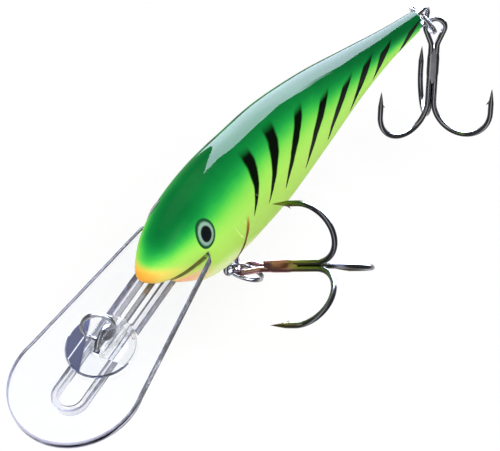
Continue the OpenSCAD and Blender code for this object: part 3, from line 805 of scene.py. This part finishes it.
def lip_details(bm, up):
    """Draws the painted edge shade as matt lines round the plate and on the keel's foot."""
    to_lip = ON_LIP.inverted()
    for face in bm.faces:
        middle = to_lip @ face.calc_center_median()
        if hypot(middle.x - TIE_REACH, middle.y) < CLEAR_WITHIN and middle.z > -LIP_THICKNESS:
            face.material_index = 0
        # The keel's foot takes the edge material and its painted shade
        if middle.z < -LIP_THICKNESS - KEEL_DEPTH + 0.1:
            face.material_index = 1
    for height, width in LINE_WIDTHS:
        flats = [face for face in bm.faces if abs(face.normal.dot(up)) > 0.99
                 and abs((to_lip @ face.calc_center_median()).z - height) < 0.02]
        rim = bmesh.ops.inset_region(bm, faces=flats, thickness=width, use_boundary=True,
                                     use_even_offset=True)["faces"]
        for face in rim:
            middle = to_lip @ face.calc_center_median()
            from_spine = hypot(max(middle.x - KEEL_REACH + KEEL_WIDTH / 2, 0), middle.y)
            if hypot(middle.x - TIE_REACH, middle.y) > CLEAR_WITHIN and (
                    height == 0 or from_spine > KEEL_WIDTH / 2):
                face.material_index = 2


def clear_parts():
    up = (ON_LIP.to_3x3() @ UP).normalized()
    for node, name, face_of, edge_of in (
            ("diving_lip", "clear_diving_lip", CLEAR, CLEAR_EDGE),
            ("lip_button", "clear_lip_button", CLEAR_BUTTON, CLEAR)):
        bm = from_cad(node)
        bmesh.ops.dissolve_limit(bm, angle_limit=radians(0.5), verts=bm.verts, edges=bm.edges)
        for face in bm.faces:
            face.material_index = int(abs(face.normal.dot(up)) < 0.5)
        if node == "diving_lip":
            lip_details(bm, up)
        finish_piece(bm, name, "lure", [face_of, edge_of, EDGE_SHADE], [node],
                     sharp=30, outwards=False)


# ---------- Wires ----------

def through_wire():
    slope_start = ON_LIP @ Vector((TIE_REACH, 0, -TIE_RADIUS))
    slope_end_z = WIRE_HEIGHT - WIRE_BEND * (1 - cos(LIP_TURN))
    slope_length = (slope_end_z - slope_start.z) / sin(LIP_TURN)
    slope_end = Vector((slope_start.x - slope_length * cos(LIP_TURN), 0, slope_end_z))
    level_start = Vector((slope_end.x - WIRE_BEND * sin(LIP_TURN), 0, WIRE_HEIGHT))
    tail_start = Vector((TAIL_LOOP.x, 0, WIRE_HEIGHT))
    turn = ON_LIP.to_3x3()
    lip_x, lip_z = turn @ Vector((1, 0, 0)), turn @ UP

    def loop_sweep(radius):
        return 360 - degrees(acos(1 - (WIRE + LOOP_GAP) / radius))

    tie_sweep, tail_sweep = loop_sweep(TIE_RADIUS), loop_sweep(TAIL_RADIUS)
    path = arc(LINE_TIE, TIE_RADIUS, -90 + tie_sweep, -tie_sweep, 60, lip_x, lip_z)
    path += stepped(slope_start, slope_end, 12)
    path += arc((level_start.x, 0, WIRE_HEIGHT - WIRE_BEND), WIRE_BEND,
                90 - degrees(LIP_TURN), degrees(LIP_TURN), 10)
    path += stepped(level_start, tail_start, 20)
    path += arc(TAIL_LOOP, TAIL_RADIUS, 90, tail_sweep, 60)
    finish_piece(draw_wire(path, WIRE / 2), "formed_through_wire", "lure",
                 [STEEL], ["through_wire"])


def belly_hanger():
    foot, touch, side = teardrop(HANGER_RADIUS, HANGER_NECK, HANGER_LEG)
    top = Vector((HANGER_LEG, 0, -HANGER_NECK - HANGER_ROOT))
    half = stepped(top, foot + Vector((0, 0, -0.5)), 4) + eased(top, foot, touch, 0.45)
    half += stepped(foot.lerp(touch, 0.2), touch, 6)
    eye = arc((0, 0, -HANGER_RADIUS), HANGER_RADIUS, side, 180 - 2 * side, 48)
    placed = (Matrix.Translation(HANGER_LOOP) @ Matrix.Rotation(pi, 4, "X")
              @ Matrix.Translation((0, 0, HANGER_RADIUS)))
    finish_piece(draw_wire(half + eye + mirrored(half), WIRE / 2), "formed_belly_hanger",
                 "lure", [STEEL], ["belly_hanger"], placed)


def split_ring(label, placed, outer):
    """Two turns of flattened wire, stepping from one turn to the other beside its two ends."""
    radius, rise, steps = outer - RING_WIDTH / 2, RING_THICKNESS / 4, 144
    first, sweep = RING_STEP / 2 + RING_GAP, 720 - RING_STEP - 2 * RING_GAP
    path = []
    for turn in (first + sweep * i / steps for i in range(steps + 1)):
        t = min(max((turn - 360 + RING_STEP / 2) / RING_STEP, 0), 1)
        a = radians(turn + RING_ENDS)
        path.append(Vector((radius * cos(a), radius * sin(a),
                            -rise + 2 * rise * t * t * (3 - 2 * t))))
    bm = draw_wire(path, RING_WIDTH / 2 * 0.98, 20, 1.9 * rise / RING_WIDTH, 0.75)
    finish_piece(bm, label + "_split_ring", label + "_ring", [STEEL],
                 [label + "_ring"], placed, sharp=50)


# ---------- Trebles ----------

def hook_path(shank_x, shank_y, turn):
    """A hook's path from its point back to the shank's foot, and its radii."""
    out = Vector((cos(radians(turn)), sin(radians(turn)), 0))
    foot = Vector((shank_x, shank_y, BEND_Z))
    far = foot + out * 2 * BEND_RADIUS
    tip = far + UP * POINT_HEIGHT
    taper_foot = tip - UP * POINT_TAPER
    path = stepped(tip, taper_foot, 14)
    radii = [max(POINT_TIP, HOOK_WIRE / 2 * (i / 14) ** 0.8) for i in range(15)]
    rest = stepped(taper_foot, far, 4)[1:]
    rest += arc(foot + out * BEND_RADIUS, BEND_RADIUS, 0, -180, 44, out)[1:]
    return path + rest, radii + [HOOK_WIRE / 2] * len(rest), far


def cut_barb(bm, far, turn):
    """The barb: a sliver raised from the point's inner side, leaning back."""
    inward = -Vector((cos(radians(turn)), sin(radians(turn)), 0))
    foot = far + UP * (POINT_HEIGHT - POINT_TAPER)
    root = foot + UP * BARB_ABOVE + inward * BARB_ROOT
    tip = foot + UP * BARB_BELOW + inward * BARB_OUT
    lean = (tip - root).normalized()
    made = bmesh.ops.create_cone(bm, cap_ends=True, segments=14, radius1=BARB_RADII[0],
                                 radius2=BARB_RADII[1], depth=(tip - root).length)["verts"]
    side = inward.cross(UP)
    turn_to = Matrix((side, lean.cross(side), lean)).transposed().to_4x4()
    bmesh.ops.transform(bm, matrix=Matrix.Translation((root + tip) / 2) @ turn_to
                        @ Matrix.Diagonal((BARB_FLATNESS, 1, 1, 1)), verts=made)


def double_hook():
    """One wire, from point to point by way of the eye."""
    foot, touch, side = teardrop(HOOK_EYE_RADIUS, HOOK_EYE_LENGTH, SHANK_SPREAD)
    half, radii, far = hook_path(SHANK_SPREAD, 0, 30)
    shank_top = foot - UP * EYE_NECK
    rise = stepped(half[-1], shank_top, 16)[1:] + eased(shank_top, foot, touch, NECK_BEND, 8)
    rise += stepped(foot.lerp(touch, 0.25), touch, 8)[1:]
    half, radii = half + rise, radii + [HOOK_WIRE / 2] * len(rise)
    eye = arc((0, 0, -HOOK_EYE_RADIUS), HOOK_EYE_RADIUS, side, 180 - 2 * side, 56)[1:-1]
    bm = draw_wire(half + eye + mirrored(half),
                   radii + [HOOK_WIRE / 2] * len(eye) + radii[::-1], round_ends=False)
    cut_barb(bm, far, 30)
    cut_barb(bm, *mirrored([far]), 150)
    return bm


def single_hook():
    half, radii, far = hook_path(0, -SINGLE_BACK, -90)
    rise = stepped(half[-1], Vector((0, -SINGLE_BACK, SINGLE_TOP)), 16)[1:]
    bm = draw_wire(half + rise, radii + [HOOK_WIRE / 2] * len(rise), round_ends=False)
    cut_barb(bm, far, -90)
    return bm


def braze():
    """Braze metal: a rounded three-cornered sleeve, drawn in at both ends."""
    shanks = (Vector((SHANK_SPREAD, 0)), Vector((-SHANK_SPREAD, 0)), Vector((0, -SINGLE_BACK)))
    centre = sum(shanks, Vector((0, 0))) / 3

    def from_side(point, a, b):
        along = min(max((point - a).dot(b - a) / (b - a).length_squared, 0), 1)
        return (point - (a + (b - a) * along)).length

    def on_sleeve(direction):
        """Where a line from the centre meets the sleeve's face, found by halving."""
        low, high = 0, 2
        for _ in range(24):
            middle = (low + high) / 2
            point = centre + direction * middle
            away = min(from_side(point, a, b) for a, b in zip(shanks, shanks[1:] + shanks[:1]))
            inside = away < HOOK_WIRE / 2 + BRAZE_SKIN or middle < 0.2
            low, high = (middle, high) if inside else (low, middle)
        return centre + direction * low

    bm = bmesh.new()
    verts = bmesh.ops.create_circle(bm, cap_ends=True, segments=60, radius=1)["verts"]
    edges = list(bm.edges)
    for vert in verts:
        vert.co = (*on_sleeve(vert.co.xy.normalized()), BRAZE_TOP)
    middle = Matrix.Translation((*centre, 0))
    stations = [*BRAZE_TAPER, *((BRAZE_LENGTH - drop, share) for drop, share in BRAZE_TAPER[::-1])]
    before = (0, 1)
    for drop, share in stations:
        if drop:
            verts, edges = pulled_on(bm, edges)
        grow = share / before[1]
        move = middle @ Matrix.Diagonal((grow, grow, 1, 1)) @ middle.inverted()
        bmesh.ops.transform(bm, matrix=Matrix.Translation((0, 0, before[0] - drop)) @ move,
                            verts=verts)
        before = (drop, share)
    bmesh.ops.edgeloop_fill(bm, edges=edges)
    return bm


def treble(label, placed, material):
    for shape, kind, node in ((double_hook, "double_hook", "hook_double"),
                              (single_hook, "single_hook", "hook_single"),
                              (braze, "brazed_shank", "hook_braze")):
        finish_piece(shape(), f"{label}_{kind}", label + "_treble", [material],
                     [f"{label}_{node}"], placed, sharp=45)


balsa_body()
lead_ballast()
inlaid_eyes()
clear_parts()
through_wire()
belly_hanger()
split_ring("line_tie", TIE_RING_FRAME, TIE_RING)
split_ring("belly", BELLY_RING_FRAME, HOOK_RING)
split_ring("tail", TAIL_RING_FRAME, HOOK_RING)
treble("belly", BELLY_TREBLE_FRAME, WARM_NICKEL)
treble("tail", TAIL_TREBLE_FRAME, NICKEL)


# ---------- Camera ----------

camera_data = bpy.data.cameras.new("camera")
camera_data.sensor_fit, camera_data.sensor_width = "HORIZONTAL", 36
camera_data.lens, camera_data.clip_start = 219.36, 0.01
camera = bpy.data.objects.new("camera", camera_data)
# Its columns point to the right, up and back; the last is its place
camera.matrix_world = Matrix(((-0.5624, -0.5345, 0.6309, 0.238180),
                              (0.8268, -0.3544, 0.4368, 0.188660),
                              (-0.0099, 0.7673, 0.6412, 0.273011), (0, 0, 0, 1)))
scene.collection.objects.link(camera)
scene.camera = camera


# ---------- Studio ----------

def white_room():
    """White all round for the camera and through clear plastic. Gloss sees the white behind the
    lure, a tall window in front, one over the lip, and a dark room between them."""
    world = scene.world = bpy.data.worlds.new("studio")
    world.use_nodes = True
    world.node_tree.nodes.clear()
    add = partial(add_node, world.node_tree)
    rays = add("LightPath").node.outputs
    look = add("TexCoord").node.outputs["Generated"]
    behind, aside, ahead, over_lip = [
        add("VectorMath", (look, way), "DOT_PRODUCT")
        for way in ((-0.63, -0.44, -0.64), (-0.57, 0.82, 0), (0.82, 0.57, 0),
                    (-0.11, -0.437, 0.893))]
    room = add("MapRange", (behind, 0.42, 0.74, 0.14))
    aside = add("Math", (aside,), "ABSOLUTE")
    window = add("MapRange", (aside, 0.1, 0.38, 1.8, 0))
    ahead = add("MapRange", (ahead, 0.25, 0.5))
    window = add("Math", (window, ahead), "MULTIPLY")
    over_lip = add("MapRange", (over_lip, 0.87, 0.97))
    for light in (window, over_lip):
        room = add("Math", (room, light), "MAXIMUM")
    soft = add("MapRange", (rays["Is Glossy Ray"], 0, 1, 0.62, room))
    white = add("Math", (rays["Is Camera Ray"], rays["Is Transmission Ray"]), "MAXIMUM")
    strength = add("MapRange", (white, 0, 1, soft, 1))
    light = add("Background", {"Color": "#ffffff", "Strength": strength})
    add("OutputWorld", (light,))


def paper_sweep():
    """Paper that shows white and keeps the shadow. Gloss sees the room instead of it."""
    paper, add = new_material("white_paper_sweep")
    rays = add("LightPath").node.outputs
    fibres = add("TexNoise", {"Scale": 900})
    colour = add("MixRGB", (fibres, "#f3f3f3", "#f7f7f7"))
    matt = add("BsdfDiffuse", {"Color": colour})
    glow = add("Emission", {"Strength": 1.03})
    seen = rays["Is Camera Ray"]
    for kind in ("Is Transmission Ray", "Is Glossy Ray"):
        seen = add("Math", (seen, rays[kind]), "MAXIMUM")
    share = add("Math", (seen, 0.7), "MULTIPLY")
    shown(paper, add("MixShader", (share, matt, glow)))
    bm = bmesh.new()
    bmesh.ops.create_grid(bm, x_segments=1, y_segments=1, size=3)
    floor = put_in_scene("floor", bm, [paper])
    floor.location.z = cad_box[0][2] - FLOOR_DROP
    floor.visible_glossy = False


def softbox():
    """A tall softbox behind the back, seen only as a reflection; it fades towards its foot. Its
    corners are angles round and up from the middle of the lure."""
    face, add = new_material("softbox_face")
    made_at = add("TexCoord").node.outputs["Object"]
    height = add("SeparateXYZ", (made_at,)).node.outputs["Z"]
    fade = add("MapRange", (height, -0.08, 0.35, 20, 46))
    shown(face, add("Emission", {"Color": "#dce8ff", "Strength": fade}))
    middle, away, square_on = Vector((-0.04, 0, 0.008)), 0.5, -162.5
    bm = bmesh.new()
    corners = []
    for around, up in ((-123, -8), (-123, 68), (-156, 64), (-181, 61.5), (-192, 54), (-194, 49),
                       (-188, 40), (-188, 35), (-195, 29.5), (-200, 23), (-200.5, 16),
                       (-200, 8), (-200, -8)):
        reach = away / cos(radians(around - square_on))
        corners.append(bmesh.ops.create_vert(bm, co=middle + reach * Vector((
            cos(radians(around)), sin(radians(around)), tan(radians(up)))))["vert"][0])
    bmesh.ops.contextual_create(bm, geom=corners)
    card = put_in_scene("softbox", bm, [face])
    card.visible_camera = card.visible_diffuse = card.visible_shadow = False
    card.visible_transmission = False


def lamps():
    for name, place, power in (("key", (0.25, 0.45, 0.75), 4.5), ("fill", (0.6, -0.3, 0.4), 1.3)):
        data = bpy.data.lights.new(name, "AREA")
        data.shape, data.size, data.energy = "SQUARE", LAMP_SIZE, power
        lamp = bpy.data.objects.new(name, data)
        lamp.matrix_world = (Matrix.Translation(place) @ Vector(place).to_track_quat("Z", "Y")
                             .to_matrix().to_4x4())
        lamp.visible_glossy = False
        scene.collection.objects.link(lamp)


scene.view_settings.view_transform = "Standard"
white_room()
paper_sweep()
softbox()
lamps()
